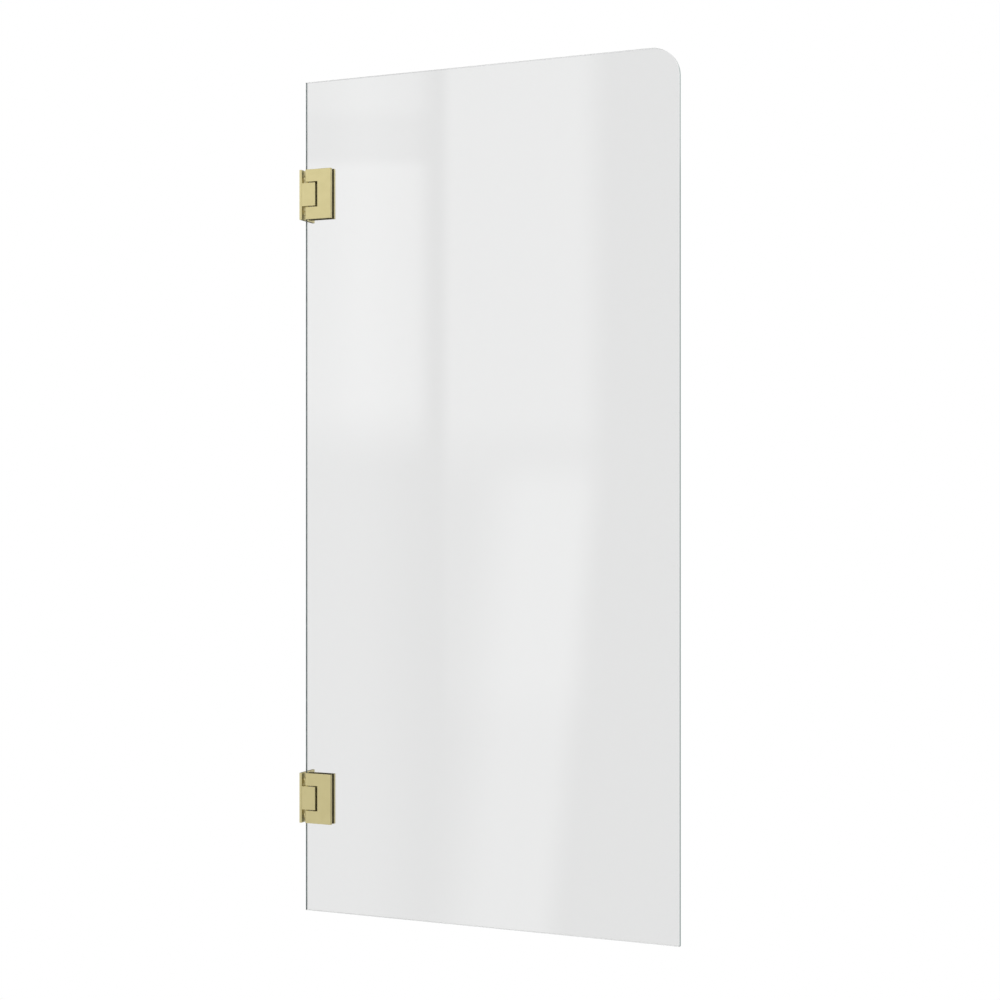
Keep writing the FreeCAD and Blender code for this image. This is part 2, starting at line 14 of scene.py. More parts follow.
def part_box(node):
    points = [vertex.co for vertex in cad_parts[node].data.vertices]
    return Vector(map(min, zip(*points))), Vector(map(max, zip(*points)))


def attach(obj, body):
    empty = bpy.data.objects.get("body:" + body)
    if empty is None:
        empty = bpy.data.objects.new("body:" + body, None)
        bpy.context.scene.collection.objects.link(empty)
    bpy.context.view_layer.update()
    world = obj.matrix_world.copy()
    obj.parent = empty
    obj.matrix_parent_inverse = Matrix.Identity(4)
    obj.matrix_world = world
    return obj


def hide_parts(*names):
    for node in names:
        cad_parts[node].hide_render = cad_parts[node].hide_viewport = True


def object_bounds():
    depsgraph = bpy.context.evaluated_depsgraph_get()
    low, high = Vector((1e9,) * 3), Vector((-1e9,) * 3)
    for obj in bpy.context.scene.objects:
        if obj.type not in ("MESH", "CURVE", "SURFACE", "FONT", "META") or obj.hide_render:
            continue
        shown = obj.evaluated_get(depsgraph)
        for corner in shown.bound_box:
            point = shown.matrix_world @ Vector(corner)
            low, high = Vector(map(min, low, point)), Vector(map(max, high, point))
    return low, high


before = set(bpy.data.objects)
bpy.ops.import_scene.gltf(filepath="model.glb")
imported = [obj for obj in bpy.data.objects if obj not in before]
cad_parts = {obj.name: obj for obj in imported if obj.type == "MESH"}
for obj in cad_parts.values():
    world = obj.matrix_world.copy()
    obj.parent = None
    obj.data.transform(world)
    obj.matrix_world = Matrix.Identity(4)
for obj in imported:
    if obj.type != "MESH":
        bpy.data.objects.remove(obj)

CAD_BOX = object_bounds()
MM = 0.001
SMOOTH_ANGLE = math.radians(30)
NOISE_LOW, NOISE_HIGH = 0.3, 0.7  # nearly all of a noise lies between these

Tree = bpy.types.NodeTree
Socket = bpy.types.NodeSocket
Outputs = bpy.types.NodeOutputs
Place = tuple[float, float, float]

log = logging.getLogger("bath_screen")


class Side(Enum):
    """Which of the two hinges a piece belongs to."""

    LOWER = "lower"
    UPPER = "upper"


class Lathe(Enum):
    """Where a turned surface gets the distance that its tool marks follow."""

    ALONG_Z = "object"
    STORED = "attribute"


def linear(hex_colour: str) -> tuple[float, float, float, float]:
    """Turns an sRGB hex colour into the linear one that Blender's sockets take.

    Args:
        hex_colour: Six hex digits, such as "D1C698".

    Returns:
        Red, green and blue, and an alpha of 1.
    """
    shares = (int(hex_colour[i : i + 2], 16) / 255 for i in (0, 2, 4))
    red, green, blue = (
        s / 12.92 if s <= 0.04045 else ((s + 0.055) / 1.055) ** 2.4 for s in shares
    )
    return red, green, blue, 1.0


def add_node(
    tree: Tree, kind: str, inputs: dict[Any, Any] | None = None, **settings: Any
) -> bpy.types.Node:
    """Adds a node, sets its properties, and sets or links its inputs.

    Args:
        tree: The node tree that gets the node.
        kind: The node's type, such as "ShaderNodeMath".
        inputs: Input name or number to a value, or to the socket that feeds it.
        **settings: The node's own properties.

    Returns:
        The new node.
    """
    node = tree.nodes.new(kind)
    for name, value in settings.items():
        setattr(node, name, value)
    for key, value in (inputs or {}).items():
        if isinstance(value, Socket):
            tree.links.new(value, node.inputs[key])
        else:
            node.inputs[key].default_value = value
    return node


def compute(tree: Tree, operation: str, first: Any, second: Any = 0.0) -> Socket:
    """One step of arithmetic on sockets or numbers.

    Args:
        tree: The tree that gets the step.
        operation: The Math node's operation.
        first: A socket or a number.
        second: The same, where the operation takes two.

    Returns:
        The result's socket.
    """
    step = add_node(tree, "ShaderNodeMath", {0: first, 1: second}, operation=operation)
    return step.outputs[0]


def between(tree: Tree, share: Socket, first: Any, second: Any) -> Socket:
    """The first number where the share is 0, and the second where it is 1.

    Args:
        tree: The tree that gets the step.
        share: A socket from 0 to 1.
        first: A socket or a number.
        second: A socket or a number.

    Returns:
        The mixed number's socket.
    """
    inputs = {"Value": share, "To Min": first, "To Max": second}
    return add_node(tree, "ShaderNodeMapRange", inputs).outputs["Result"]


def ramp(tree: Tree, value: Socket, start: float, end: float) -> Socket:
    """A soft step from 0 at the start to 1 at the end, whichever of the two is higher.

    Args:
        tree: The tree that gets the step.
        value: The number that decides.
        start: Where the step is still 0.
        end: Where it has reached 1.

    Returns:
        The step's socket.
    """
    inputs = {"Value": value, "From Min": start, "From Max": end}
    step = add_node(tree, "ShaderNodeMapRange", inputs, interpolation_type="SMOOTHSTEP")
    return step.outputs["Result"]


def put_in_scene(name: str, mesh: bpy.types.Mesh) -> bpy.types.Object:
    """Makes an object of a mesh, at the origin, with soft shading between near-flat faces.

    Args:
        name: The piece's name.
        mesh: Its mesh, in metres in the part's frame.

    Returns:
        The new object.
    """
    mesh.shade_smooth()
    mesh.set_sharp_from_angle(angle=SMOOTH_ANGLE)
    piece = bpy.data.objects.new(name, mesh)
    bpy.context.scene.collection.objects.link(piece)
    return piece


# ---------------------------------------------------------------- finishes


@dataclass(frozen=True)
class Finish:
    """A finish: its material's name, and the record's slot that it stands for."""

    name: str
    slot: str

    def material(self) -> bpy.types.Material:
        """Returns the finish's material, which is built the first time."""
        found = bpy.data.materials.get(self.name)
        if found is None:
            found = bpy.data.materials.new(self.name)
            found.use_nodes = True
            found.node_tree.nodes.clear()
            self.build(found.node_tree)
        return found

    def build(self, tree: Tree) -> None:
        """Builds the finish's nodes in an empty tree."""
        raise NotImplementedError

    def noise(self, tree: Tree, per_metre: Place, detail: float) -> Socket:
        """A noise in object coordinates.

        Args:
            tree: The material's tree.
            per_metre: How many pattern units fit in a metre, along X, Y and Z.
            detail: How many finer layers the noise has.

        Returns:
            The noise's socket.
        """
        place = add_node(tree, "ShaderNodeTexCoord").outputs["Object"]
        stretched = add_node(tree, "ShaderNodeMapping", {"Vector": place, "Scale": per_metre})
        inputs = {"Vector": stretched.outputs["Vector"], "Scale": 1.0, "Detail": detail}
        return add_node(tree, "ShaderNodeTexNoise", inputs).outputs["Fac"]

    def ranged(self, tree: Tree, value: Socket, low: float, high: float) -> Socket:
        """Spreads a noise over a range.

        Args:
            tree: The material's tree.
            value: The noise.
            low: What NOISE_LOW becomes.
            high: What NOISE_HIGH becomes.

        Returns:
            The socket with the spread value.
        """
        inputs = {"Value": value, "From Min": NOISE_LOW, "From Max": NOISE_HIGH}
        inputs |= {"To Min": low, "To Max": high}
        return add_node(tree, "ShaderNodeMapRange", inputs).outputs["Result"]

    def blended(self, tree: Tree, share: Socket, first: str | Socket, second: str) -> Socket:
        """Mixes two colours.

        Args:
            tree: The material's tree.
            share: How much of the second colour shows, from 0 to 1.
            first: A hex colour, or the socket of a colour.
            second: A hex colour.

        Returns:
            The socket with the mixed colour.
        """
        mix = add_node(tree, "ShaderNodeMix", {"Factor": share}, data_type="RGBA")
        colours = [s for s in mix.inputs if s.type == "RGBA"]
        if isinstance(first, str):
            colours[0].default_value = linear(first)
        else:
            tree.links.new(first, colours[0])
        colours[1].default_value = linear(second)
        return [s for s in mix.outputs if s.type == "RGBA"][0]


@dataclass(frozen=True)
class FloatGlass(Finish):
    """Toughened float glass, flat-polished edges: clear, faintly green, mirror smooth.

    The rollers of the toughening oven leave a very slow wave in it, which bends what it mirrors.
    """

    tint: str = "F8F8F8"
    absorbed: str = "6C7A76"
    density: float = 9.5
    ior: float = 1.52
    wave_pitch_mm: float = 300.0
    wave_stretch: float = 0.6  # how slow the wave is across the pane, against up it
    wave_height_mm: float = 0.12  # about twice the real one, so that it shows

    def build(self, tree: Tree) -> None:
        """Builds clear glass with an absorbing inside and the slow wave as a bump."""
        up = 1 / (self.wave_pitch_mm * MM)
        wave = self.noise(tree, (self.wave_stretch * up, 0.0, up), 1.0)
        bump = add_node(
            tree, "ShaderNodeBump", {"Height": wave, "Distance": self.wave_height_mm * MM}
        )
        glass = add_node(
            tree,
            "ShaderNodeBsdfPrincipled",
            {
                "Base Color": linear(self.tint),
                "Roughness": 0.0,
                "IOR": self.ior,
                "Transmission Weight": 1.0,
                "Normal": bump.outputs["Normal"],
            },
        )
        self.fill(tree, glass)

    def fill(self, tree: Tree, surface: bpy.types.Node) -> None:
        """Ends the tree with a surface, and with glass that absorbs light behind it.

        Args:
            tree: The material's tree.
            surface: The surface's shader.
        """
        inside = add_node(
            tree,
            "ShaderNodeVolumeAbsorption",
            {"Color": linear(self.absorbed), "Density": self.density},
        )
        ends = {"Surface": surface.outputs["BSDF"], "Volume": inside.outputs["Volume"]}
        add_node(tree, "ShaderNodeOutputMaterial", ends)


@dataclass(frozen=True)
class GlassEdge(FloatGlass):
    """The pane's edge, ground flat and polished: glossy, and less clear than the face.

    Its colour holds painted light and shade, set by the way the edge faces. The free edge gets a
    grey-green line, partly the glass's own green and partly painted shade for the dim light that
    reaches it through a long way of glass; the edge at the wall gets a painted paler one. The top
    and bottom edges get a painted near-white, and let most of the white above and below through.
    """

    # Painted light and shade: these edge colours are chosen by the way the edge faces, not by the
    # light that reaches it
    pale: str = "A2B4B1"
    deep: str = "94A7A4"
    by_wall: str = "D8E3E1"
    level: str = "F2F4F3"
    upright_below: float = 0.2  # how far the edge's normal rises where it is still upright
    level_above: float = 0.65
    level_cover: float = 0.25  # how much of the light behind is held back
    wall_cover: float = 0.7
    roughness: tuple[float, float] = (0.08, 0.16)  # where it is smoothest, and roughest
    streak_mm: float = 0.8  # the polishing belt's streaks, across the edge

    def build(self, tree: Tree) -> None:
        """Builds faint streaks and painted light: paler and clearer facing up, down or the wall."""
        streaks = self.noise(tree, (1 / (self.streak_mm * MM),) * 3, 2.0)
        normal = add_node(tree, "ShaderNodeTexCoord").outputs["Normal"]
        facing = add_node(tree, "ShaderNodeSeparateXYZ", {"Vector": normal}).outputs
        rise = compute(tree, "ABSOLUTE", facing["Z"])
        # Painted light: paler and more see-through where the edge faces up or down, and paler at
        # the wall
        painted_top_bottom_share = ramp(tree, rise, self.upright_below, self.level_above)
        painted_wall_side = compute(tree, "LESS_THAN", facing["X"])
        upright_cover = between(tree, painted_wall_side, 1.0, self.wall_cover)
        upright = self.blended(tree, self.ranged(tree, streaks, 0.0, 1.0), self.pale, self.deep)
        upright = self.blended(tree, painted_wall_side, upright, self.by_wall)
        edge = add_node(
            tree,
            "ShaderNodeBsdfPrincipled",
            {
                "Base Color": self.blended(tree, painted_top_bottom_share, upright, self.level),
                "Roughness": self.ranged(tree, streaks, *self.roughness),
                "IOR": self.ior,
                "Alpha": between(tree, painted_top_bottom_share, upright_cover, self.level_cover),
            },
        )
        self.fill(tree, edge)


@dataclass(frozen=True)
class SatinBrass(Finish):
    """Cast brass, fine-brushed along its length and lacquered: a soft, even, pale gold shine."""

    pale: str = "D4C996"
    deep: str = "D0C592"
    roughness: tuple[float, float] = (0.32, 0.38)
    lacquer: float = 0.2
    lacquer_roughness: float = 0.15
    line_mm: float = 0.3  # the real lines are some 0.05 mm wide, too fine to show
    line_length_mm: float = 22.0
    cloud_mm: float = 14.0
    line_depth_mm: float = 0.002

    def build(self, tree: Tree) -> None:
        """Builds the metal with brushed lines in its roughness and bump, under a thin lacquer."""
        fine = 1 / (self.line_mm * MM)
        lines = self.noise(tree, (fine, fine, 1 / (self.line_length_mm * MM)), 3.0)
        clouds = self.noise(tree, (1 / (self.cloud_mm * MM),) * 3, 2.0)
        bump = add_node(
            tree, "ShaderNodeBump", {"Height": lines, "Distance": self.line_depth_mm * MM}
        )
        metal = add_node(
            tree,
            "ShaderNodeBsdfPrincipled",
            {
                "Base Color": self.blended(
                    tree, self.ranged(tree, clouds, 0.0, 1.0), self.pale, self.deep
                ),
                "Metallic": 1.0,
                "Roughness": self.ranged(tree, lines, *self.roughness),
                "Coat Weight": self.lacquer,
                "Coat Roughness": self.lacquer_roughness,
                "Normal": bump.outputs["Normal"],
            },
        )
        add_node(tree, "ShaderNodeOutputMaterial", {"Surface": metal.outputs["BSDF"]})


@dataclass(frozen=True)
class TurnedMetal(Finish):
    """Metal turned on a lathe: bright, with fine tool marks round the axis."""

    pale: str = "C9C9C7"
    deep: str = "B4B4B2"
    roughness: tuple[float, float] = (0.22, 0.36)
    lathe: Lathe = Lathe.STORED
    mark_mm: float = 0.25  # the real marks are some 0.1 mm apart
    mark_depth_mm: float = 0.002

    def build(self, tree: Tree) -> None:
        """Builds the metal with its tool marks in colour, roughness and bump."""
        if self.lathe is Lathe.STORED:
            distance = add_node(
                tree, "ShaderNodeAttribute", attribute_name=SocketScrews.LATHE_ATTRIBUTE
            ).outputs["Fac"]
        else:
            place = add_node(tree, "ShaderNodeTexCoord")
            distance = add_node(
                tree, "ShaderNodeSeparateXYZ", {"Vector": place.outputs["Object"]}
            ).outputs["Z"]
        marks = add_node(
            tree,
            "ShaderNodeTexNoise",
            {"W": distance, "Scale": 1 / (self.mark_mm * MM), "Detail": 2.0},
            noise_dimensions="1D",
        ).outputs["Fac"]
        bump = add_node(
            tree, "ShaderNodeBump", {"Height": marks, "Distance": self.mark_depth_mm * MM}
        )
        metal = add_node(
            tree,
            "ShaderNodeBsdfPrincipled",
            {
                "Base Color": self.blended(
                    tree, self.ranged(tree, marks, 0.0, 1.0), self.pale, self.deep
                ),
                "Metallic": 1.0,
                "Roughness": self.ranged(tree, marks, *self.roughness),
                "Normal": bump.outputs["Normal"],
            },
        )
        add_node(tree, "ShaderNodeOutputMaterial", {"Surface": metal.outputs["BSDF"]})


@dataclass(frozen=True)
class DrawnWire(Finish):
    """Spring wire, drawn and oil-tempered: dark grey, with a dull shine."""

    pale: str = "8E8E90"
    deep: str = "6C6C70"
    roughness: tuple[float, float] = (0.32, 0.5)
    spot_mm: float = 0.4

    def build(self, tree: Tree) -> None:
        """Builds the metal with small dull spots."""
        spots = self.noise(tree, (1 / (self.spot_mm * MM),) * 3, 3.0)
        metal = add_node(
            tree,
            "ShaderNodeBsdfPrincipled",
            {
                "Base Color": self.blended(
                    tree, self.ranged(tree, spots, 0.0, 1.0), self.pale, self.deep
                ),
                "Metallic": 1.0,
                "Roughness": self.ranged(tree, spots, *self.roughness),
            },
        )
        add_node(tree, "ShaderNodeOutputMaterial", {"Surface": metal.outputs["BSDF"]})


@dataclass(frozen=True)
class MattePolymer(Finish):
    """A polymer with a fine matt grain, such as turned acetal or die-cut rubber sheet."""

    pale: str = "F1EFE8"
    deep: str = "E6E3DA"
    roughness: tuple[float, float] = (0.4, 0.53)
    shine: float = 0.5
    grain_mm: float = 0.3
    grain_depth_mm: float = 0.01

    def build(self, tree: Tree) -> None:
        """Builds the polymer with its grain in colour, roughness and bump."""
        grain = self.noise(tree, (1 / (self.grain_mm * MM),) * 3, 4.0)
        bump = add_node(
            tree, "ShaderNodeBump", {"Height": grain, "Distance": self.grain_depth_mm * MM}
        )
        polymer = add_node(
            tree,
            "ShaderNodeBsdfPrincipled",
            {
                "Base Color": self.blended(
                    tree, self.ranged(tree, grain, 0.0, 1.0), self.pale, self.deep
                ),
                "Roughness": self.ranged(tree, grain, *self.roughness),
                "Specular IOR Level": self.shine,
                "Normal": bump.outputs["Normal"],
            },
        )
        add_node(tree, "ShaderNodeOutputMaterial", {"Surface": polymer.outputs["BSDF"]})


FLOAT_GLASS = FloatGlass("toughened_float_glass", "clear_glass")
POLISHED_EDGE = GlassEdge("flat_polished_glass_edge", "clear_glass")
BRUSHED_BRASS = SatinBrass("brushed_lacquered_brass", "satin_brass")
PLATED_STEEL = TurnedMetal(
    "brass_plated_turned_steel", "brass_plated_steel", pale="D6C794", deep="C7B680"
)
TURNED_STAINLESS = TurnedMetal("turned_stainless_steel", "stainless_steel")
GROUND_STAINLESS = TurnedMetal(
    "ground_stainless_steel", "stainless_steel", roughness=(0.14, 0.28), lathe=Lathe.ALONG_Z
)
SPRING_WIRE = DrawnWire("drawn_spring_steel", "spring_steel")
TURNED_ACETAL = MattePolymer("turned_white_acetal", "acetal")
CUT_RUBBER = MattePolymer(
    "die_cut_black_rubber",
    "gasket_rubber",
    pale="181817",
    deep="101010",
    roughness=(0.7, 0.83),
    shine=0.1,  # it lies tight on the glass, with no air between to give it a shine
    grain_mm=0.25,
    grain_depth_mm=0.02,
)


def dress(piece: bpy.types.Object, finish: Finish) -> bpy.types.Object:
    """Gives a piece one finish all over.

    Args:
        piece: A new piece or a node of the part.
        finish: The finish.

    Returns:
        The same piece.
    """
    if not piece.material_slots:
        piece.data.materials.append(finish.material())
    for place in piece.material_slots:
        place.material = finish.material()
    return piece


# ---------------------------------------------------------------- the pane


@dataclass
class GlassPane:
    """The pane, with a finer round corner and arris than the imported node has. Sizes in mm."""

    corner_radius: float = 49.0
    arris: float = 0.8
    gasket_contact: float = 0.01
    clear_arris_normal: float = 0.3
    corner_steps: int = 40
    ear_steps: int = 24
    cutout_half_height: float = 33.0
    ear_x: float = 40.17
    ear_radius: float = 7.0
    cutout_x: float = 37.17

    def arc(
        self, x: float, z: float, radius: float, start: float, end: float, steps: int
    ) -> list[Vector]:
        """Points along an arc in the pane's plane.

        Args:
            x: The centre's X, in mm.
            z: The centre's Z, in mm.
            radius: The radius, in mm.
            start: The first point's angle from +X towards +Z, in degrees.
            end: The last point's angle, in degrees.
            steps: How many straight runs stand for the arc.

        Returns:
            Points as (x, z), in mm.
        """
        angles = (math.radians(start + (end - start) * i / steps) for i in range(steps + 1))
        return [Vector((x + radius * math.cos(a), z + radius * math.sin(a))) for a in angles]

    def cutout(self, left: float, centre: float) -> list[Vector]:
        """One hinge's cut-out in the pane's left edge, from its top to its bottom.

        Args:
            left: The pane's left edge, in mm.
            centre: The hinge's middle, in mm.

        Returns:
            Points as (x, z), in mm.
        """
        top = centre + self.cutout_half_height
        bottom = centre - self.cutout_half_height
        past = math.degrees(math.acos((self.cutout_x - self.ear_x) / self.ear_radius))
        upper = self.arc(
            self.ear_x, top - self.ear_radius, self.ear_radius, 90, -past, self.ear_steps
        )
        lower = self.arc(
            self.ear_x, bottom + self.ear_radius, self.ear_radius, past, -90, self.ear_steps
        )
        return [Vector((left, top)), *upper, *lower, Vector((left, bottom))]

    def outline(self, shrink: float) -> list[Vector]:
        """The pane's outline, clockwise as seen from the front.

        Args:
            shrink: How far the outer edges are moved inwards, in mm. The cut-outs stay.

        Returns:
            Points as (x, z), in mm, as many for every shrink.
        """
        low, high = (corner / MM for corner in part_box("glass_panel"))
        left, right, bottom, top = (
            low.x + shrink,
            high.x - shrink,
            low.z + shrink,
            high.z - shrink,
        )
        radius = self.corner_radius - shrink
        points = [Vector((left, top))]
        points += self.arc(right - radius, top - radius, radius, 90, 0, self.corner_steps)
        points += [Vector((right, bottom)), Vector((left, bottom))]
        for side in Side:
            plate_low, plate_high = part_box(f"{side.value}_wall_plate")
            points += reversed(self.cutout(left, (plate_low.z + plate_high.z) / 2 / MM))
        return points

    def mesh(self) -> bpy.types.Mesh:
        """Builds the closed pane: faces of material 0, edges and arrises of material 1.

        The free edge's front arris is as clear as the face. Both faces stand a hair into the
        gaskets, so that the rubber lies on the glass without air between them.

        Returns:
            The mesh, in metres.
        """
        low, high = (corner.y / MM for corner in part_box("glass_panel"))
        low, high = low - self.gasket_contact, high + self.gasket_contact
        full = self.outline(0.0)
        small = self.outline(self.arris)
        levels = (
            (low, small),
            (low + self.arris, full),
            (high - self.arris, full),
            (high, small),
        )
        shape = bmesh.new()
        loops = [
            [shape.verts.new(Vector((p.x, y, p.y)) * MM) for p in points] for y, points in levels
        ]
        count = len(full)
        for near, far in zip(loops, loops[1:]):
            for i in range(count):
                j = (i + 1) % count
                shape.faces.new((near[i], near[j], far[j], far[i])).material_index = 1
        front_arris = shape.faces[:count]
        caps = [shape.faces.new(loops[0]), shape.faces.new(loops[-1])]
        shape.normal_update()
        bmesh.ops.triangulate(shape, faces=caps)
        bmesh.ops.recalc_face_normals(shape, faces=shape.faces)
        for face in front_arris:
            if face.normal.x > self.clear_arris_normal:
                face.material_index = 0
        mesh = bpy.data.meshes.new("pane")
        shape.to_mesh(mesh)
        shape.free()
        return mesh

    def build(self) -> None:
        """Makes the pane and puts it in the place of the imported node."""
        pane = put_in_scene("glass_pane", self.mesh())
        for finish in (FLOAT_GLASS, POLISHED_EDGE):
            pane.data.materials.append(finish.material())
        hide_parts("glass_panel")
        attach(pane, "leaf")
        log.info("glass pane: %d faces", len(pane.data.polygons))


# ---------------------------------------------------------------- the screws


@dataclass
class SocketScrews:
    """A row of like socket screws, with threads and a hexagonal socket. Sizes in mm.

    The screws are drawn along +Z from the top of the head, then turned and put in place.
    """

    name: str
    node: str
    body: str
    finish: Finish
    first: Vector
    last: Vector
    turn: tuple[float, float, float]
    length: float
    seed: int
    head_radius: float = 5.0
    shank_radius: float = 2.5
    pitch: float = 0.8
    socket_radius: float = 3 / math.sqrt(3)
    socket_depth: float = 2.2

    LATHE_ATTRIBUTE = "lathe_distance"
    TREE = "socket_screws"
    # The tree's inputs, each filled from the field of its name
    INPUTS = {
        "head_radius": "Float",
        "shank_radius": "Float",
        "length": "Float",
        "pitch": "Float",
        "socket_radius": "Float",
        "socket_depth": "Float",
        "first": "Vector",
        "last": "Vector",
        "turn": "Vector",
        "seed": "Int",
        "finish": "Material",
    }
    RIDGE_SHARE = 0.45  # the thread ridge's half width, as a share of the pitch
    ROOT_DEPTH = 1.3  # how deep the core lies under the crests, in half widths
    THREAD_MARGIN = 1.2  # how far the thread stays from both ends, in half widths

    def group(self) -> Tree:
        """Returns the tree that draws the screws, which is built the first time."""
        tree = bpy.data.node_groups.get(self.TREE)
        if tree is not None:
            return tree
        tree = bpy.data.node_groups.new(self.TREE, "GeometryNodeTree")
        tree.is_modifier = True
        tree.interface.new_socket("Geometry", in_out="INPUT", socket_type="NodeSocketGeometry")
        for name, kind in self.INPUTS.items():
            tree.interface.new_socket(name, in_out="INPUT", socket_type="NodeSocket" + kind)
        tree.interface.new_socket("Geometry", in_out="OUTPUT", socket_type="NodeSocketGeometry")
        given = add_node(tree, "NodeGroupInput").outputs
        screw = self.draw_one(tree, given)
        row = self.place_row(tree, given, screw)
        dressed = add_node(
            tree, "GeometryNodeSetMaterial", {"Geometry": row, "Material": given["finish"]}
        )
        add_node(tree, "NodeGroupOutput", {0: dressed.outputs["Geometry"]})
        return tree

    def raised(self, tree: Tree, geometry: Socket, height: Any) -> Socket:
        """Moves geometry along Z.

        Args:
            tree: The screws' tree.
            geometry: What moves.
            height: How far, in metres.

        Returns:
            The moved geometry's socket.
        """
        offset = add_node(tree, "ShaderNodeCombineXYZ", {"Z": height})
        return add_node(
            tree,
            "GeometryNodeTransform",
            {"Geometry": geometry, "Translation": offset.outputs["Vector"]},
        ).outputs["Geometry"]

    def draw_one(self, tree: Tree, given: Outputs) -> Socket:
        """Draws one screw: head or chamfered end, socket, core and a helical thread.

        Args:
            tree: The screws' tree.
            given: The tree's inputs.

        Returns:
            The screw's geometry.
        """
        difference = compute(tree, "SUBTRACT", given["head_radius"], given["shank_radius"])
        head_height = compute(tree, "ABSOLUTE", difference)
        ridge = compute(tree, "MULTIPLY", given["pitch"], self.RIDGE_SHARE)
        root = compute(tree, "MULTIPLY", ridge, self.ROOT_DEPTH)
        core_radius = compute(tree, "SUBTRACT", given["shank_radius"], root)
        core_length = compute(tree, "SUBTRACT", given["length"], head_height)
        head = add_node(
            tree,
            "GeometryNodeMeshCone",
            {
                "Vertices": 64,
                "Radius Bottom": given["head_radius"],
                "Radius Top": given["shank_radius"],
                "Depth": head_height,
            },
            fill_type="NGON",
        ).outputs["Mesh"]
        core = add_node(
            tree,
            "GeometryNodeMeshCylinder",
            {"Vertices": 48, "Radius": core_radius, "Depth": core_length},
            fill_type="NGON",
        ).outputs["Mesh"]
        half_core = compute(tree, "DIVIDE", core_length, 2.0)
        core = self.raised(tree, core, compute(tree, "ADD", head_height, half_core))
        socket = add_node(
            tree,
            "GeometryNodeMeshCylinder",
            {
                "Vertices": 6,
                "Radius": given["socket_radius"],
                "Depth": compute(tree, "MULTIPLY", given["socket_depth"], 2.0),
            },
            fill_type="NGON",
        ).outputs["Mesh"]
        joined = add_node(tree, "GeometryNodeMeshBoolean", operation="UNION")
        tree.links.new(head, joined.inputs["Mesh 2"])
        tree.links.new(core, joined.inputs["Mesh 2"])
        hollow = add_node(
            tree,
            "GeometryNodeMeshBoolean",
            {"Mesh 1": joined.outputs["Mesh"], "Mesh 2": socket},
            operation="DIFFERENCE",
        ).outputs["Mesh"]
        thread = self.draw_thread(tree, given, head_height, core_length, ridge)
        both = add_node(tree, "GeometryNodeJoinGeometry")
        tree.links.new(hollow, both.inputs["Geometry"])
        tree.links.new(thread, both.inputs["Geometry"])
        return self.with_lathe_distance(tree, both.outputs["Geometry"])

    def draw_thread(
        self, tree: Tree, given: Outputs, head_height: Socket, core_length: Socket, ridge: Socket
    ) -> Socket:
        """Winds a ridge round the core, a ridge's height clear of both ends.

        Args:
            tree: The screws' tree.
            given: The tree's inputs.
            head_height: How tall the head is.
            core_length: How long the core is.
            ridge: The ridge's half width.

        Returns:
            The thread's geometry.
        """
        margin = compute(tree, "MULTIPLY", ridge, self.THREAD_MARGIN)
        margins = compute(tree, "MULTIPLY", margin, 2.0)
        height = compute(tree, "SUBTRACT", core_length, margins)
        radius = compute(tree, "SUBTRACT", given["shank_radius"], ridge)
        helix = add_node(
            tree,
            "GeometryNodeCurveSpiral",
            {
                "Resolution": 32,
                "Rotations": compute(tree, "DIVIDE", height, given["pitch"]),
                "Start Radius": radius,
                "End Radius": radius,
                "Height": height,
            },
        )
        upright = add_node(
            tree, "GeometryNodeSetCurveNormal", {"Curve": helix.outputs["Curve"]}, mode="Z_UP"
        )
        section = add_node(
            tree, "GeometryNodeCurvePrimitiveCircle", {"Resolution": 4, "Radius": ridge}
        )
        wound = add_node(
            tree,
            "GeometryNodeCurveToMesh",
            {
                "Curve": upright.outputs["Curve"],
                "Profile Curve": section.outputs["Curve"],
                "Fill Caps": True,
            },
        )
        start = compute(tree, "ADD", head_height, margin)
        return self.raised(tree, wound.outputs["Mesh"], start)

    def with_lathe_distance(self, tree: Tree, screw: Socket) -> Socket:
        """Stores how far each point is from the axis and along it, for the tool marks.

        Args:
            tree: The screws' tree.
            screw: The screw's geometry.

        Returns:
            The geometry with the attribute.
        """
        position = add_node(tree, "GeometryNodeInputPosition")
        apart = add_node(
            tree, "ShaderNodeSeparateXYZ", {"Vector": position.outputs["Position"]}
        ).outputs
        flat = add_node(tree, "ShaderNodeCombineXYZ", {"X": apart["X"], "Y": apart["Y"]})
        radius = add_node(
            tree, "ShaderNodeVectorMath", {0: flat.outputs["Vector"]}, operation="LENGTH"
        )
        distance = compute(tree, "ADD", radius.outputs["Value"], apart["Z"])
        return add_node(
            tree,
            "GeometryNodeStoreNamedAttribute",
            {"Geometry": screw, "Name": self.LATHE_ATTRIBUTE, "Value": distance},
            data_type="FLOAT",
            domain="POINT",
        ).outputs["Geometry"]

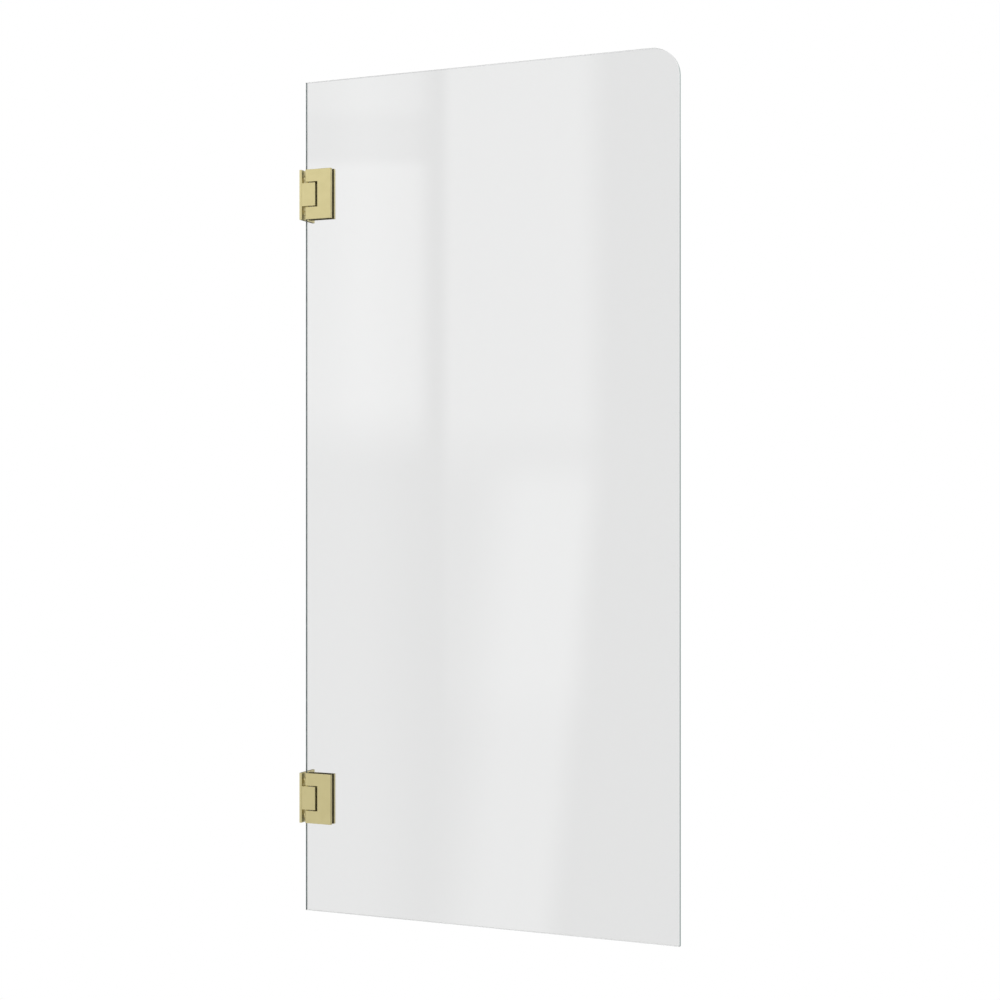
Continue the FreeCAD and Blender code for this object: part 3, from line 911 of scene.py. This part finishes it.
    def place_row(self, tree: Tree, given: Outputs, screw: Socket) -> Socket:
        """Puts a screw at both places, each stopped at its own turn round its axis.

        Args:
            tree: The screws' tree.
            given: The tree's inputs.
            screw: One screw's geometry.

        Returns:
            The realized row.
        """
        places = add_node(
            tree,
            "GeometryNodeMeshLine",
            {"Count": 2, "Start Location": given["first"], "Offset": given["last"]},
            mode="END_POINTS",
        )
        stop = add_node(
            tree,
            "FunctionNodeRandomValue",
            {"Min": 0.0, "Max": 2 * math.pi, "Seed": given["seed"]},
            data_type="FLOAT",
        )
        angle = [s for s in stop.outputs if s.type == "VALUE" and s.enabled][0]
        spin = add_node(
            tree,
            "FunctionNodeEulerToRotation",
            {"Euler": add_node(tree, "ShaderNodeCombineXYZ", {"Z": angle}).outputs["Vector"]},
        )
        turned = add_node(tree, "FunctionNodeEulerToRotation", {"Euler": given["turn"]})
        final = add_node(
            tree,
            "FunctionNodeRotateRotation",
            {"Rotation": turned.outputs["Rotation"], "Rotate By": spin.outputs["Rotation"]},
            rotation_space="LOCAL",
        )
        copies = add_node(
            tree,
            "GeometryNodeInstanceOnPoints",
            {
                "Points": places.outputs["Mesh"],
                "Instance": screw,
                "Rotation": final.outputs["Rotation"],
            },
        )
        return add_node(
            tree, "GeometryNodeRealizeInstances", {"Geometry": copies.outputs["Instances"]}
        ).outputs["Geometry"]

    def build(self) -> None:
        """Draws the row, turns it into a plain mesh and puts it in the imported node's place."""
        carrier = bpy.data.objects.new(self.name + "_carrier", bpy.data.meshes.new(self.name))
        bpy.context.scene.collection.objects.link(carrier)
        modifier = carrier.modifiers.new("screws", "NODES")
        modifier.node_group = self.group()
        for item in modifier.node_group.interface.items_tree:
            kind = self.INPUTS.get(item.name)
            if kind is None:
                continue
            value = getattr(self, item.name)
            if kind == "Float":
                value *= MM
            elif kind == "Material":
                value = value.material()
            modifier[item.identifier] = value
        evaluated = carrier.evaluated_get(bpy.context.evaluated_depsgraph_get())
        mesh = bpy.data.meshes.new_from_object(evaluated)
        bpy.data.objects.remove(carrier)
        piece = put_in_scene(self.name, mesh)
        dress(piece, self.finish)
        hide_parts(self.node)
        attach(piece, self.body)
        log.info("%s: %d faces", self.name, len(mesh.polygons))


# ---------------------------------------------------------------- a hinge


@dataclass
class Hinge:
    """One wall hinge: brass plates, gaskets, pivot, detent and screws. Sizes in mm."""

    side: Side
    clamp_screw_x: float = GlassPane.ear_x
    clamp_screw_z: float = 26.0
    set_screw_z: float = 27.35
    set_screw_radius: float = 2.0
    set_screw_pitch: float = 0.7
    set_screw_chamfer: float = 0.4
    set_screw_socket: float = 2 / math.sqrt(3)
    set_screw_socket_depth: float = 2.0
    block_screw_z: float = 14.5

    TOWARDS_MINUS_Y = (math.radians(90), 0.0, 0.0)
    TOWARDS_PLUS_X = (0.0, math.radians(90), 0.0)

    def node(self, name: str) -> str:
        """The full name of one of this hinge's nodes."""
        return f"{self.side.value}_{name}"

    def dress_nodes(self) -> None:
        """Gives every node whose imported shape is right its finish."""
        finishes = {
            "wall_plate": BRUSHED_BRASS,
            "pivot_block": BRUSHED_BRASS,
            "front_clamp": BRUSHED_BRASS,
            "back_clamp": BRUSHED_BRASS,
            "front_gasket": CUT_RUBBER,
            "back_gasket": CUT_RUBBER,
            "pivot_bushes": TURNED_ACETAL,
            "detent_shoe": TURNED_ACETAL,
            "detent_spring": SPRING_WIRE,
            "pivot_pin": GROUND_STAINLESS,
        }
        for name, finish in finishes.items():
            dress(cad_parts[self.node(name)], finish)
            log.info("%s: %s", self.node(name), finish.name)

    def build_row(self, name: str, x: float, y: float, rise: float, **settings: Any) -> None:
        """Draws a pair of screws, one below and one above the hinge's middle.

        Args:
            name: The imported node's name, without the side.
            x: Where the head tops are, in metres.
            y: The same, through the pane.
            rise: How far from the middle they are, in mm.
            **settings: The screws' other fields.
        """
        plate_low, plate_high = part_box(self.node("wall_plate"))
        centre = (plate_low.z + plate_high.z) / 2
        SocketScrews(
            name=self.node(name + "_threaded"),
            node=self.node(name),
            first=Vector((x, y, centre - rise * MM)),
            last=Vector((x, y, centre + rise * MM)),
            **settings,
        ).build()

    def build_screws(self) -> None:
        """Draws the clamp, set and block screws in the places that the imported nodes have."""
        clamp_low, clamp_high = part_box(self.node("clamp_screws"))
        pin_low, pin_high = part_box(self.node("pivot_pin"))
        pin_x = (pin_low.x + pin_high.x) / 2
        pin_y = (pin_low.y + pin_high.y) / 2
        set_low, set_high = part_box(self.node("pin_set_screws"))
        block_low, block_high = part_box(self.node("block_screws"))
        self.build_row(
            "clamp_screws",
            self.clamp_screw_x * MM,
            clamp_high.y,
            self.clamp_screw_z,
            body="leaf",
            finish=PLATED_STEEL,
            turn=self.TOWARDS_MINUS_Y,
            length=(clamp_high.y - clamp_low.y) / MM,
            seed=11,
        )
        self.build_row(
            "pin_set_screws",
            pin_x,
            set_high.y,
            self.set_screw_z,
            body="leaf",
            finish=TURNED_STAINLESS,
            turn=self.TOWARDS_MINUS_Y,
            length=(set_high.y - set_low.y) / MM,
            seed=23,
            head_radius=self.set_screw_radius - self.set_screw_chamfer,
            shank_radius=self.set_screw_radius,
            pitch=self.set_screw_pitch,
            socket_radius=self.set_screw_socket,
            socket_depth=self.set_screw_socket_depth,
        )
        self.build_row(
            "block_screws",
            block_low.x,
            pin_y,
            self.block_screw_z,
            body="wall_side",
            finish=TURNED_STAINLESS,
            turn=self.TOWARDS_PLUS_X,
            length=(block_high.x - block_low.x) / MM,
            seed=31,
        )

    def build(self) -> None:
        """Dresses and completes the hinge."""
        self.dress_nodes()
        self.build_screws()


# ---------------------------------------------------------------- the studio


@dataclass(frozen=True)
class SoftPanel:
    """A soft pale panel on the flat screen that is seen through the pane in the photograph.

    Its places are in hundredths of the screen's distance from the camera, right and up from the
    middle. Each edge fades outwards over its own width, and the panel may lean to the right.
    """

    left: float
    right: float
    bottom: float
    top: float
    strength: float
    fade_left: float = 1.0
    fade_right: float = 1.0
    fade_bottom: float = 2.0
    fade_top: float = 2.0
    lean: float = 0.0


@dataclass(frozen=True)
class Flag:
    """A broad black flag in the white studio, which satin metal mirrors.

    Its place is in degrees: turn from the pane's front to the right, and rise from the horizon.
    """

    turn: float
    rise: float
    spread: float
    strength: float


@dataclass(frozen=True)
class Lamp:
    """A soft square lamp: its place and its side, in metres, and its power."""

    name: str
    place: Place
    side: float
    watts: float


@dataclass
class Studio:
    """White studio: camera, soft lamps, pale floor, and what the glass and the metal show."""

    focal_px: float = 1850.8
    frame_px: float = 1000.0
    sensor_mm: float = 36.0
    view_turn: float = 23.1
    camera_place: Place = (1.627, -2.9267, 0.53045)
    shift_up: float = 0.0008
    lamp_aim: Place = (0.35, 0.0, 0.6)
    lamps: tuple[Lamp, ...] = (
        Lamp("key_lamp", (-2.4, -2.4, 2.9), 1.8, 9.0),
        Lamp("fill_lamp", (3.4, -1.4, 1.9), 2.2, 6.0),
        Lamp("back_lamp", (0.9, 3.0, 2.6), 2.0, 8.0),
    )
    floor_level: float = -0.762
    floor_radius: float = 1.3
    floor_paint: float = 0.8
    floor_glow: float = 0.42
    fill_level: float = 0.7
    mirrored_level: float = 0.1
    flags: tuple[Flag, ...] = (
        Flag(turn=-157.0, rise=0.0, spread=60.0, strength=0.97),
        Flag(turn=35.0, rise=0.0, spread=50.0, strength=0.6),
        Flag(turn=0.0, rise=-90.0, spread=105.0, strength=0.42),
    )
    screen_level: float = 0.913
    screen_unit: float = 0.01  # the panels' places, as a share of the screen's distance
    screen: SoftPanel = SoftPanel(-12.5, 12.0, -27.0, 27.0, 1.0, 2.0, 2.0, 3.0, 3.0)
    panels: tuple[SoftPanel, ...] = (
        SoftPanel(-14.0, -8.0, -30.0, 30.0, 0.04, fade_right=4.6),
        SoftPanel(-14.0, -4.6, 5.8, 17.8, 0.055, fade_right=1.2, fade_bottom=4.5, fade_top=0.9),
        SoftPanel(-14.0, -4.4, 21.5, 30.0, 0.03, fade_right=1.2, fade_bottom=1.2),
        SoftPanel(-7.0, -5.0, 5.8, 30.0, 0.027, fade_left=3.0, fade_right=1.4, fade_bottom=4.5),
        SoftPanel(-2.5, 4.0, 5.0, 30.0, 0.075, fade_left=0.9, fade_right=2.2, fade_bottom=5.0),
        SoftPanel(-2.7, 3.6, -9.0, 0.5, 0.022, 0.6, 2.4, 4.0, 3.5),
        SoftPanel(1.9, 4.0, -30.0, 0.0, 0.068, 4.2, 2.0, 2.0, 3.0, lean=0.1),
    )

    def build_camera(self) -> None:
        """Sets the camera where the photograph was taken from, level and turned left."""
        data = bpy.data.cameras.new("camera")
        data.sensor_width = self.sensor_mm
        data.lens = self.focal_px / self.frame_px * self.sensor_mm
        data.shift_y = self.shift_up
        camera = bpy.data.objects.new("camera", data)
        camera.location = self.camera_place
        camera.rotation_euler = (math.radians(90), 0.0, math.radians(self.view_turn))
        bpy.context.scene.collection.objects.link(camera)
        bpy.context.scene.camera = camera
        log.info("camera: %.1f mm lens", data.lens)

    def build_lamps(self) -> None:
        """Adds the key lamp high on the left, a fill on the right and one behind."""
        for lamp in self.lamps:
            data = bpy.data.lights.new(lamp.name, "AREA")
            data.size = lamp.side
            data.energy = lamp.watts
            light = bpy.data.objects.new(lamp.name, data)
            light.location = lamp.place
            facing = Vector(self.lamp_aim) - Vector(lamp.place)
            light.rotation_euler = facing.to_track_quat("-Z", "Y").to_euler()
            bpy.context.scene.collection.objects.link(light)
            log.info("%s: %.0f W", lamp.name, lamp.watts)

    def build_floor(self) -> None:
        """Lays a pale round floor a bath's height below the pane, which takes its shadow."""
        shape = bmesh.new()
        bmesh.ops.create_circle(shape, cap_ends=True, segments=96, radius=self.floor_radius)
        low, high = CAD_BOX
        middle = ((low.x + high.x) / 2, (low.y + high.y) / 2, self.floor_level)
        bmesh.ops.transform(shape, matrix=Matrix.Translation(middle), verts=shape.verts)
        mesh = bpy.data.meshes.new("studio_floor")
        shape.to_mesh(mesh)
        shape.free()
        floor = bpy.data.objects.new("studio_floor", mesh)
        bpy.context.scene.collection.objects.link(floor)
        material = bpy.data.materials.new("white_painted_floor")
        material.use_nodes = True
        tree = material.node_tree
        tree.nodes.clear()
        path = add_node(tree, "ShaderNodeLightPath").outputs
        looked_at = compute(tree, "MAXIMUM", path["Is Camera Ray"], path["Is Glossy Ray"])
        looked_at = compute(tree, "MAXIMUM", looked_at, path["Is Transmission Ray"])
        glow_level = compute(tree, "MULTIPLY", looked_at, self.floor_glow)
        grey = (self.floor_paint,) * 3
        paint = add_node(tree, "ShaderNodeBsdfDiffuse", {"Color": (*grey, 1.0)})
        glow = add_node(tree, "ShaderNodeEmission", {"Strength": glow_level})
        both = add_node(tree, "ShaderNodeAddShader", {0: paint.outputs[0], 1: glow.outputs[0]})
        dim = add_node(tree, "ShaderNodeEmission", {"Strength": self.mirrored_level})
        by_glass = self.by_glass(tree, path)
        shown = add_node(
            tree, "ShaderNodeMixShader", {0: by_glass, 1: both.outputs[0], 2: dim.outputs[0]}
        )
        add_node(tree, "ShaderNodeOutputMaterial", {"Surface": shown.outputs[0]})
        mesh.materials.append(material)
        log.info("floor: %.2f m below the pane", low.z - self.floor_level)

    def by_glass(self, tree: Tree, path: Outputs) -> Socket:
        """Tells whether a sharp mirror sent the ray. Only the pane is one.

        Args:
            tree: The floor's or the world's tree.
            path: The light path's outputs. A ray that glass let through counts as glossy too.

        Returns:
            The socket, 1 for such a ray.
        """
        sharp = compute(tree, "MULTIPLY", path["Is Glossy Ray"], path["Is Singular Ray"])
        return compute(tree, "SUBTRACT", sharp, path["Is Transmission Ray"])

    def panel_light(self, tree: Tree, across: Socket, up: Socket, panel: SoftPanel) -> Socket:
        """One panel's light over the screen.

        Args:
            tree: The world's tree.
            across: The place across the screen.
            up: The place up the screen.
            panel: The panel.

        Returns:
            The light's socket.
        """
        if panel.lean:
            across = compute(tree, "SUBTRACT", across, compute(tree, "MULTIPLY", up, panel.lean))
        steps = (
            ramp(tree, across, panel.left - panel.fade_left, panel.left),
            ramp(tree, across, panel.right + panel.fade_right, panel.right),
            ramp(tree, up, panel.bottom - panel.fade_bottom, panel.bottom),
            ramp(tree, up, panel.top + panel.fade_top, panel.top),
        )
        light: Any = panel.strength
        for step in steps:
            light = compute(tree, "MULTIPLY", light, step)
        return light

    def screen_light(self, tree: Tree, facing: Socket) -> Socket:
        """What is seen through the pane: white, and behind it the screen with its panels.

        Args:
            tree: The world's tree.
            facing: The direction that is looked in.

        Returns:
            The light's socket.
        """
        turned = add_node(
            tree,
            "ShaderNodeVectorRotate",
            {"Vector": facing, "Angle": -math.radians(self.view_turn)},
            rotation_type="Z_AXIS",
        )
        away = add_node(tree, "ShaderNodeSeparateXYZ", {"Vector": turned.outputs["Vector"]}).outputs
        depth = compute(tree, "MULTIPLY", away["Y"], self.screen_unit)
        across = compute(tree, "DIVIDE", away["X"], depth)
        up = compute(tree, "DIVIDE", away["Z"], depth)
        ahead = compute(tree, "GREATER_THAN", away["Y"])
        screen = self.panel_light(tree, across, up, self.screen)
        on_screen = compute(tree, "MULTIPLY", ahead, screen)
        light: Any = self.screen_level
        for panel in self.panels:
            light = compute(tree, "ADD", light, self.panel_light(tree, across, up, panel))
        return between(tree, on_screen, 1.0, light)

    def flagged_light(self, tree: Tree, facing: Socket) -> Socket:
        """What satin metal mirrors: the white studio with its black flags.

        Args:
            tree: The world's tree.
            facing: The direction that is looked in.

        Returns:
            The light's socket.
        """
        light: Any = 1.0
        for flag in self.flags:
            turn, rise = math.radians(flag.turn), math.radians(flag.rise)
            middle = (
                math.sin(turn) * math.cos(rise),
                -math.cos(turn) * math.cos(rise),
                math.sin(rise),
            )
            nearness = add_node(
                tree, "ShaderNodeVectorMath", {0: facing, 1: middle}, operation="DOT_PRODUCT"
            ).outputs["Value"]
            share = ramp(tree, nearness, math.cos(math.radians(flag.spread)), 1.0)
            flagged = compute(tree, "MULTIPLY", light, 1 - flag.strength)
            light = between(tree, share, light, flagged)
        return light

    def build_world(self) -> None:
        """Surrounds the scene with white, for the camera and through the glass.

        The metal mirrors the flags too, and the pane's sharp mirror image stays dim. A ray that
        metal has mirrored doesn't see the screen, even where it then passes through the pane.
        """
        world = bpy.data.worlds.new("studio")
        world.use_nodes = True
        bpy.context.scene.world = world
        tree = world.node_tree
        tree.nodes.clear()
        path = add_node(tree, "ShaderNodeLightPath").outputs
        facing = add_node(tree, "ShaderNodeTexCoord").outputs["Generated"]
        passed = path["Is Transmission Ray"]
        looking = compute(tree, "MAXIMUM", path["Is Glossy Ray"], passed)
        by_metal = compute(tree, "MINIMUM", looking, path["Glossy Depth"])
        by_glass = self.by_glass(tree, path)
        straight = compute(tree, "SUBTRACT", passed, by_metal)
        light = between(tree, by_metal, self.fill_level, self.flagged_light(tree, facing))
        light = between(tree, by_glass, light, self.mirrored_level)
        light = between(tree, straight, light, self.screen_light(tree, facing))
        light = between(tree, path["Is Camera Ray"], light, 1.0)
        plain = add_node(
            tree, "ShaderNodeBackground", {"Color": (1.0, 1.0, 1.0, 1.0), "Strength": light}
        )
        add_node(tree, "ShaderNodeOutputWorld", {"Surface": plain.outputs[0]})
        log.info("world: %d flags and %d panels", len(self.flags), len(self.panels))

    def build(self) -> None:
        """Builds the whole studio."""
        self.build_camera()
        self.build_world()
        self.build_lamps()
        self.build_floor()


def main() -> None:
    """Builds the pane, both hinges and the studio."""
    logging.basicConfig(level=logging.INFO, format="%(name)s: %(message)s")
    bpy.context.scene.view_settings.view_transform = "Standard"
    GlassPane().build()
    for side in Side:
        Hinge(side).build()
    Studio().build()


if __name__ == "__main__":
    main()
